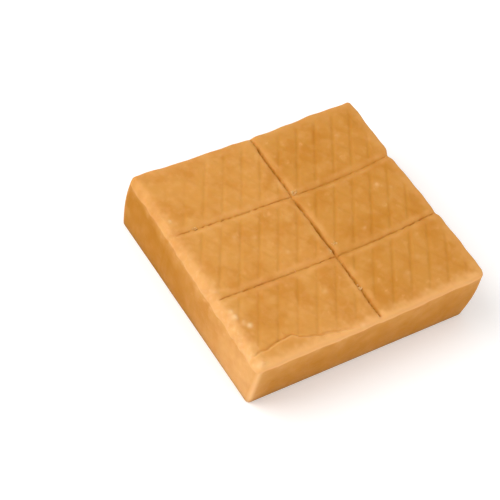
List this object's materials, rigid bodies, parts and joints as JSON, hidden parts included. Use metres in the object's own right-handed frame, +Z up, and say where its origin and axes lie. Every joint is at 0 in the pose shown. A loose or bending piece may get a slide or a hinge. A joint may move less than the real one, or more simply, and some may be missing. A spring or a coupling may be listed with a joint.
{
  "type": "vanilla fudge slab",
  "caption": "Thick square slab of vanilla fudge, scored on top into oblong blocks and pressed with a shallow diamond pattern.",
  "frame": {"origin": "middle of the underside, on the surface that the slab rests on", "axes": "+Z up, +X across the two columns of blocks, +Y along the three rows, away from the front wall with the smeared rim"},
  "size_m": [0.0942, 0.0888, 0.0241],
  "materials": {
    "fudge": "grained caramel fudge with a waxy satin skin"
  },
  "bodies": {
    "root": {"fudge_slab": "fudge"}
  },
  "joints": []
}
